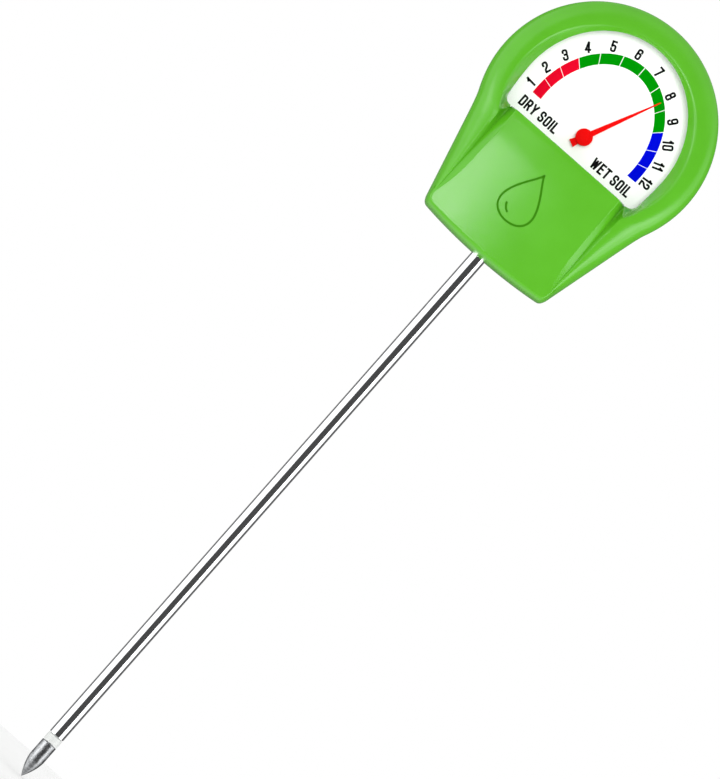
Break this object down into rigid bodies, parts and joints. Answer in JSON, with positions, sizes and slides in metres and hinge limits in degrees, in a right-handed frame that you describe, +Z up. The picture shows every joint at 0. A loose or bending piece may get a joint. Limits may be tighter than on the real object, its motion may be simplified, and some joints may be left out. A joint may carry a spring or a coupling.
{
  "type": "soil moisture meter",
  "caption": "Soil moisture meter: a round-topped green dial head with a red needle and a coloured scale, on one straight rod probe with an insulated pointed tip.",
  "frame": {"origin": "point of the probe, on the probe's axis", "axes": "+Z up along the probe to the head; the dial faces -Y; +X to the reader's right"},
  "size_m": [0.07, 0.0388, 0.2844],
  "materials": {
    "green_plastic": "bright green injection moulded plastic, satin gloss",
    "clear_plastic": "clear moulded plastic window",
    "dial_print": "white dial card with a printed red, green and blue scale",
    "needle_red": "red painted needle and hub",
    "black_plastic": "black moulded plastic",
    "nylon": "natural nylon moulding",
    "stainless": "polished stainless steel tube",
    "cast_tip": "grey cast metal, slightly rough",
    "zinc_steel": "zinc plated steel",
    "brass": "plain turned brass",
    "copper_wire": "enamelled copper winding wire",
    "magnet": "sintered magnet, dark grey",
    "spring_bronze": "phosphor bronze spring strip",
    "white_plastic": "white insulating plastic",
    "red_wire": "red insulated wire",
    "black_wire": "black insulated wire"
  },
  "bodies": {
    "body": {"front_cover": "green_plastic", "rear_cover": "green_plastic", "window_lens": "clear_plastic", "dial_plate": "dial_print", "front_bearing": "brass", "rear_bearing": "brass", "hairspring": "spring_bronze", "spring_stud": "brass", "stop_pin_left": "brass", "stop_pin_right": "brass", "movement_frame": "black_plastic", "movement_screw_left": "zinc_steel", "movement_screw_right": "zinc_steel", "coil_bobbin_front": "nylon", "coil_bobbin_rear": "nylon", "coil_winding_upper": "copper_wire", "coil_winding_lower": "copper_wire", "terminal_pin_left": "brass", "terminal_pin_right": "brass", "lead_wire_red": "red_wire", "lead_wire_black": "black_wire", "housing_screw_upper_left": "zinc_steel", "housing_screw_upper_right": "zinc_steel", "housing_screw_lower_left": "zinc_steel", "housing_screw_lower_right": "zinc_steel", "probe_tube": "stainless", "probe_collar": "brass", "tube_clip": "brass", "core_rod": "cast_tip", "core_sleeve": "white_plastic", "insulating_ring": "white_plastic", "probe_tip": "cast_tip"},
    "needle": {"needle_pointer": "needle_red", "spindle": "zinc_steel", "rotor_magnet": "magnet", "balance_arm": "brass"}
  },
  "joints": [
    {"name": "needle_sweep", "type": "hinge", "parent": "body", "child": "needle", "pos_m": [0, 0, 0.24416], "axis": [0, 1, 0], "range_deg": [-114.3, 65.7], "stiffness_Nm_per_rad": 0.000001, "springref_deg": -114.31}
  ]
}
